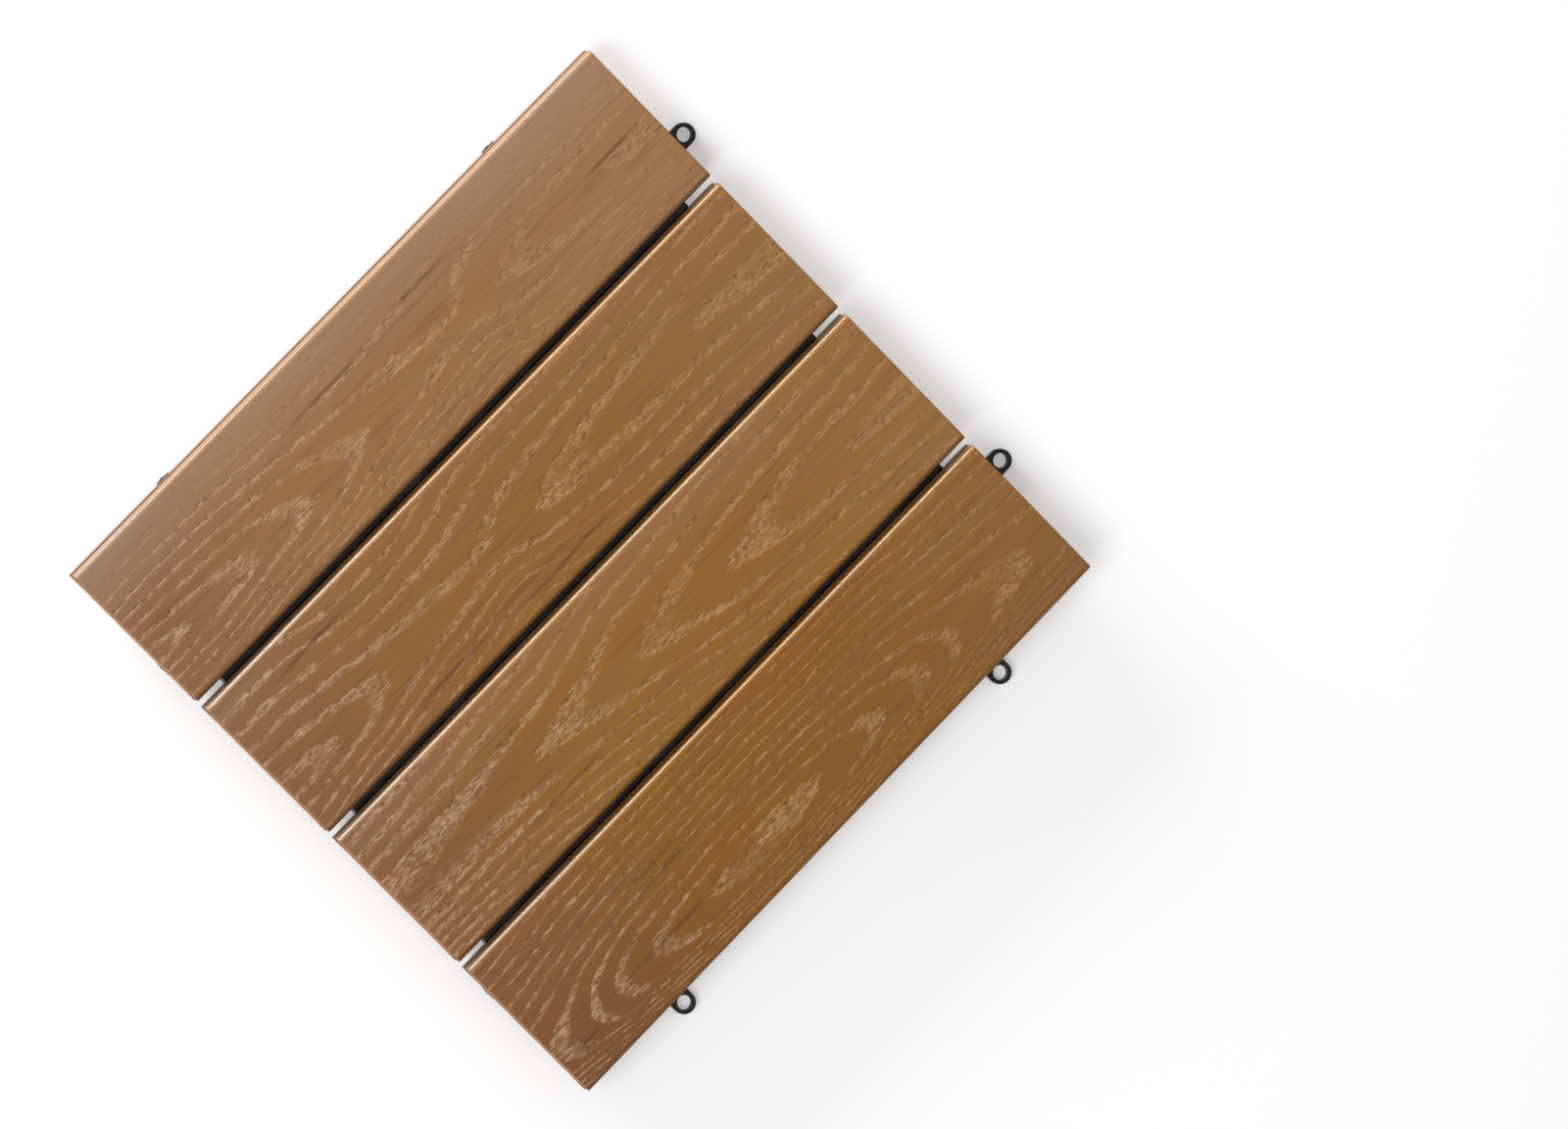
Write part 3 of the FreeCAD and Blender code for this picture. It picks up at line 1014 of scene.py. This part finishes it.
@dataclass
class BoardScrews:
    """The screws that hold the boards from below, sizes in millimetres."""

    node: str = "board_screws"
    rows: tuple[float, ...] = (-114.0, 114.0)
    lines: tuple[float, ...] = (114.0, 38.0, -38.0, -114.0)
    seat: float = 5.0
    head_radius: float = 4.0
    head_height: float = 2.4
    head_rounding: float = 0.9
    shank_radius: float = 1.9
    root_radius: float = 1.35
    length: float = 13.0
    tip: float = 3.0
    plain_shank: float = 1.2
    thread_start: float = 0.1
    pitch: float = 1.8
    root_flat: float = 1.25
    flank_slope: float = 1.6
    recess_depth: float = 1.5
    recess_reach: float = 2.3
    recess_width: float = 0.5
    recess_wall: float = 0.2
    recess_taper: float = 1.1
    face_margin: float = 0.01
    face_rings: int = 22
    edge_rings: int = 6
    thread_rings: int = 90
    segments: int = 48

    def section(self) -> tuple[Array, Array, Array]:
        """Points from the middle of the head outwards and up to the tip.

        Returns:
            Radius and height of each point, and whether the thread is cut there.
        """
        low = self.seat - self.head_height
        end = self.seat + self.length
        face = np.linspace(0, self.head_radius - self.head_rounding, self.face_rings)
        turn = np.linspace(0, math.pi / 2, self.edge_rings + 1)[1:]
        edge_r = self.head_radius - self.head_rounding * (1 - np.sin(turn))
        edge_z = low + self.head_rounding * (1 - np.cos(turn))
        thread = np.linspace(self.seat + self.plain_shank, end, self.thread_rings)
        tapered = self.shank_radius * np.clip((end - thread) / self.tip, 0, 1)
        neck_r = [self.head_radius, self.shank_radius, self.shank_radius]
        neck_z = [self.seat, self.seat, thread[0] - self.thread_start]
        radius = np.concatenate([face, edge_r, neck_r, tapered])
        height = np.concatenate([np.full(self.face_rings, low), edge_z, neck_z, thread])
        threaded = np.arange(len(radius)) >= len(radius) - self.thread_rings
        return radius, height, threaded

    def mesh_points(self) -> Array:
        """The points of one screw.

        Returns:
            The points, in rings from the head to the tip.
        """
        radius, height, threaded = self.section()
        angle = np.linspace(0, 2 * math.pi, self.segments, endpoint=False)
        r, a = np.meshgrid(radius, angle, indexing="ij")
        z = np.repeat(height[:, None], self.segments, 1)
        turn = (z - self.seat) / self.pitch - a / (2 * math.pi)
        crest = 1 - np.abs(2 * (turn - np.floor(turn)) - 1)
        cut = np.clip(self.root_flat - self.flank_slope * crest, 0, 1)
        cut = (self.shank_radius - self.root_radius) * cut
        r = np.where(threaded[:, None], r * (1 - cut / self.shank_radius), r)
        x = r * np.cos(a)
        y = r * np.sin(a)
        arm = np.minimum(np.abs(x), np.abs(y))
        wall = np.clip((self.recess_width - arm) / self.recess_wall, 0, 1)
        reach = np.clip((self.recess_reach - r) / self.recess_taper, 0, 1)
        on_face = z < self.seat - self.head_height + self.face_margin
        z = np.where(on_face, z + self.recess_depth * wall * reach, z)
        return np.stack([x, y, z], -1)

    def build(self) -> Object:
        """Makes all the screws as one object.

        Returns:
            The object, riding on the tile and standing for the CAD node.
        """
        points = self.mesh_points()
        single = np.vstack([points[0, :1], points[1:-1].reshape(-1, 3), points[-1, :1]])
        index = np.arange(1, len(single) - 1).reshape(-1, self.segments)
        turned = np.roll(index, -1, 1)
        quads = np.stack([index[:-1], turned[:-1], turned[1:], index[1:]], -1).reshape(-1, 4)
        head = np.stack([np.zeros_like(index[0]), turned[0], index[0]], -1)
        tip = np.stack([index[-1], turned[-1], np.full_like(index[-1], len(single) - 1)], -1)
        fans = np.stack([head, tip], 1).reshape(-1, 3)
        vertices: list[Array] = []
        faces: list[list[int]] = []
        for x in self.rows:
            for y in self.lines:
                start = len(vertices) * len(single)
                vertices.append(single + np.array([x, y, 0]))
                faces += (quads + start).tolist() + (fans + start).tolist()
        mesh = bpy.data.meshes.new("board_screws_threaded")
        mesh.from_pydata((np.vstack(vertices) * MM).tolist(), [], faces)
        mesh.validate()
        mesh.polygons.foreach_set("use_smooth", [True] * len(mesh.polygons))
        mesh.materials.append(ScrewSteel().build())
        screws = put_in_scene("board_screws_threaded", mesh)
        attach(screws, "root")
        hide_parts(self.node)
        return screws


@dataclass
class MouldedBase:
    """The moulded base, which keeps its CAD shape."""

    node: str = "moulded_base"

    def dress(self, nodes: dict[str, Object]) -> Object:
        """Gives the base its plastic.

        Args:
            nodes: The CAD nodes by name.

        Returns:
            The base's object.
        """
        base = nodes[self.node]
        plastic = MouldedPlastic().build()
        if not base.material_slots:
            base.data.materials.append(plastic)
        for slot in base.material_slots:
            slot.material = plastic
        return base


@dataclass(frozen=True)
class SoftBox:
    """A rectangular lamp: its place, its width and height, and its power in watts."""

    name: str
    place: tuple[float, float, float]
    size: Pair
    power: float


@dataclass
class Studio:
    """Floor, lamps, world and camera. Lengths in metres, angles in degrees."""

    deck_top: float = 0.023
    lens: float = 200.0
    distance: float = 3.5483
    sight: float = 50.0
    tilt: float = 12.5
    towards: Pair = (-0.582, 0.813)
    aside: float = 0.08135
    above: float = 0.0023
    floor_size: float = 9.0
    floor_paint: Colour = (0.8, 0.8, 0.8)
    floor_glow: float = 0.32
    world_level: float = 0.36
    side: SoftBox = SoftBox("side_lamp", (0.1, 1.6, 0.36), (1.3, 0.3), 30.0)
    key: SoftBox = SoftBox("key_lamp", (-2.8, 1.0, 4.0), (2.6, 2.6), 128.0)

    def build(self) -> None:
        """Sets up everything round the tile."""
        self.add_camera()
        self.add_floor()
        self.add_world()
        for box in (self.side, self.key):
            self.add_lamp(box)
        bpy.context.scene.view_settings.view_transform = "Standard"

    def add_camera(self) -> None:
        """Looks down on the tile as the photograph does, the boards running up to the right."""
        lean = math.radians(self.tilt)
        east, north = (share * math.sin(lean) for share in self.towards)
        middle = Vector((0, 0, self.deck_top))
        place = middle + Vector((east, north, math.cos(lean))).normalized() * self.distance
        up = Vector((1, 1, 0)).normalized()
        right = Vector((1, -1, 0)).normalized()
        target = middle + right * self.aside + up * self.above
        back = (place - target).normalized()
        side = up.cross(back).normalized()
        turn = Matrix((side, back.cross(side), back)).transposed()
        data = bpy.data.cameras.new("camera")
        data.lens = self.lens
        data.clip_end = self.sight
        camera = put_in_scene("camera", data)
        camera.matrix_world = Matrix.Translation(place) @ turn.to_4x4()
        bpy.context.scene.camera = camera

    def add_floor(self) -> None:
        """A white floor that shows the tile's shadow."""
        half = self.floor_size / 2
        mesh = bpy.data.meshes.new("studio_floor")
        corners = [(-half, -half, 0), (half, -half, 0), (half, half, 0), (-half, half, 0)]
        mesh.from_pydata(corners, [], [(0, 1, 2, 3)])
        floor = put_in_scene("studio_floor", mesh)
        material = bpy.data.materials.new("studio_floor")
        nodes = emptied(material)
        paint = nodes.add("ShaderNodeBsdfDiffuse", {"Color": rgba(self.floor_paint)})[0]
        shine = nodes.times(nodes.seen(), self.floor_glow)
        glow = nodes.add("ShaderNodeEmission", {"Color": WHITE, "Strength": shine})[0]
        both = nodes.add("ShaderNodeAddShader", {0: paint, 1: glow})[0]
        nodes.add("ShaderNodeOutputMaterial", {"Surface": both})
        mesh.materials.append(material)

    def add_world(self) -> None:
        """An even white surround."""
        world = bpy.data.worlds.new("studio_world")
        nodes = emptied(world)
        rest = self.world_level
        level = nodes.maths("MULTIPLY_ADD", nodes.seen(), 1 - rest, rest)
        light = nodes.add("ShaderNodeBackground", {"Color": WHITE, "Strength": level})[0]
        nodes.add("ShaderNodeOutputWorld", {"Surface": light})
        bpy.context.scene.world = world

    def add_lamp(self, box: SoftBox) -> None:
        """Hangs a soft lamp that faces the tile.

        Args:
            box: The lamp.
        """
        data = bpy.data.lights.new(box.name, "AREA")
        data.shape = "RECTANGLE"
        data.size, data.size_y = box.size
        data.energy = box.power
        lamp = put_in_scene(box.name, data)
        lamp.location = box.place
        lamp.visible_camera = False
        aim = Vector((0, 0, self.deck_top)) - Vector(box.place)
        lamp.rotation_mode = "QUATERNION"
        lamp.rotation_quaternion = aim.to_track_quat("-Z", "Y")


FIRST_GRAIN = SawnGrain(
    depth=(
        (0, 21, 61, 92, 125, 183, 208, 258, 300),
        (0.4, 1, 2, 3, 4, 4.55, 4, 3.1, 2.8),
    ),
    line=((0, 61, 92, 125, 150, 183, 208, 300), (-11.5, -11.7, -13, -9, -7, -4.5, -4, -4)),
    width_above=((0, 61, 100, 125, 200, 240, 300), (5.3, 5.6, 6, 5.6, 7.2, 5.8, 4.6)),
    width_below=(
        (0, 61, 92, 125, 150, 183, 212, 250, 300),
        (4.3, 3.5, 3.2, 3.3, 3.4, 3.1, 4.3, 3.5, 3.9),
    ),
    pinch=((0, 125, 150, 182, 198, 215, 300), (0, 0, 0.4, 1.35, 0.1, 0, 0)),
    seed=11,
    heart=7,
)
SECOND_GRAIN = SawnGrain(
    depth=((0, 31, 62, 124, 149, 253, 300), (0.3, 1, 2, 2.5, 2, 1, 0.6)),
    line=((0, 31, 62, 100, 124, 149, 200, 253, 300), (-12, -13, -9, -6, -4, -4.5, -1.5, 1, 0)),
    width_above=((0, 31, 62, 100, 150, 200, 300), (8, 8.4, 6.8, 6.6, 8.4, 7.3, 8.2)),
    width_below=(
        (0, 31, 62, 100, 124, 150, 180, 300),
        (5.8, 4.2, 4.8, 4.4, 3.9, 4.9, 6.3, 7.5),
    ),
    pinch=((0, 85, 121, 137, 160, 300), (0, 0, 1, 0.1, 0, 0)),
    seed=23,
    heart=13,
)
THIRD_GRAIN = SawnGrain(
    depth=((0, 83, 142, 192, 262, 300), (4.2, 4, 3, 2, 1, 0.6)),
    line=((0, 83, 142, 192, 300), (-2, 0, 0, -3, -3)),
    width_above=((0, 100, 190, 300), (4.9, 5.7, 7.3, 8.5)),
    width_below=((0, 100, 180, 300), (3.5, 4.5, 5.8, 8)),
    seed=37,
    heart=13,
    full_core=True,
)
FOURTH_GRAIN = SawnGrain(
    depth=(
        (0, 23, 37, 57, 93, 126, 160, 197, 222, 242, 284, 300),
        (5.4, 4.4, 3.4, 2.4, 1.4, 0.7, 1.4, 2.4, 3.4, 4.4, 5.4, 5.7),
    ),
    line=((0, 126, 300), (-16, -15.5, -12)),
    width_above=((0, 300), (4.6, 4.6)),
    width_below=((0, 60, 126, 200, 300), (4, 4.6, 5.6, 4.8, 4.8)),
    seed=51,
    heart=1,
    core=0.4,
    full_core=True,
    crowd=1.3,
)
BOARD_LOOKS = {
    "deck_board_1": BoardLook(
        FIRST_GRAIN,
        ground=srgb(153, 111, 67),
        warm=srgb(153, 108, 66),
        tan=srgb(188, 148, 106),
        strength=((0, 120, 190, 215, 300), (1, 1, 0.85, 0.6, 0.55)),
        streaks=((98, 148, 16), (165, 200, 19.5), (262, 292, 0.5)),
        across=((0, 10, 16, 22, 72), (0.15, 0.25, 0.7, 1, 1)),
        painted_highlight_and_polish=0.45,
        painted_sheen_and_tone=Wash(
            along=((0, 15, 45, 200, 230, 300), (1.25, 1.2, 1, 1, 1.2, 1)),
            across=((0, 5, 11, 19, 32, 72), (0.3, 0.29, 0.21, 0.13, 0.015, 0)),
        ),
    ),
    "deck_board_2": BoardLook(
        SECOND_GRAIN,
        ground=srgb(146, 102, 47),
        warm=srgb(148, 99, 48),
        tan=srgb(186, 142, 96),
        streaks=((27, 70, 23.5), (118, 175, -27.5), (60, 105, -26)),
        painted_sheen_and_tone=Wash(
            along=((0, 15, 45, 240, 270, 300), (1, 0.9, 0.4, 0.4, 0, 0)),
            across=((0, 6, 12, 26, 38, 72), (0.16, 0.15, 0.08, 0.06, 0, 0)),
        ),
    ),
    "deck_board_3": BoardLook(
        THIRD_GRAIN,
        ground=srgb(149, 104, 44),
        warm=srgb(151, 101, 42),
        tan=srgb(184, 140, 92),
        streaks=((68, 90, 15), (60, 102, -17.5)),
        breadth=((0, 40, 90, 300), (2, 1.8, 1, 1)),
        painted_sheen_and_tone=Wash(
            along=((0, 30, 225, 260, 300), (0.9, 1, 1, 0.3, 0)),
            across=((0, 6, 12, 24, 72), (0.11, 0.1, 0.08, 0.01, 0)),
        ),
        painted_shade_and_tone=Wash(
            along=((0, 30, 75, 120, 300), (1, 0.9, 0.6, 0, 0)),
            across=((0, 24, 36, 48, 56, 72), (0, 0.08, 0.26, 0.12, 0, 0)),
        ),
    ),
    "deck_board_4": BoardLook(
        FOURTH_GRAIN,
        ground=srgb(142, 96, 34),
        warm=srgb(145, 93, 30),
        tan=srgb(186, 142, 92),
        strength=((0, 60, 240, 300), (1, 1, 0.75, 0.6)),
        streaks=((53, 90, -15), (70, 102, 6.5), (0, 22, -21), (66, 100, 11.5)),
        gap_painted_shade=0.15,
        painted_shade_and_tone=Wash(
            along=((0, 15, 50, 90, 300), (1.3, 1.3, 1, 0.55, 0.45)),
            across=((0, 8, 20, 36, 55, 66, 72), (0, 0.1, 0.1, 0.22, 0.36, 0.42, 0.42)),
        ),
    ),
}


def main() -> None:
    """Builds each piece in order and reports it."""
    logging.basicConfig(level=logging.INFO, format="%(name)s: %(message)s")
    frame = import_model()
    Studio().build()
    log.info("studio is set up")
    for node, look in BOARD_LOOKS.items():
        board = DeckBoard(node, look).build()
        log.info("%s has %d faces", board.name, len(board.data.polygons))
    base = MouldedBase().dress(frame["nodes"])
    log.info("%s is dressed", base.name)
    screws = BoardScrews().build()
    log.info("%s has %d faces", screws.name, len(screws.data.polygons))


if __name__ == "__main__":
    main()
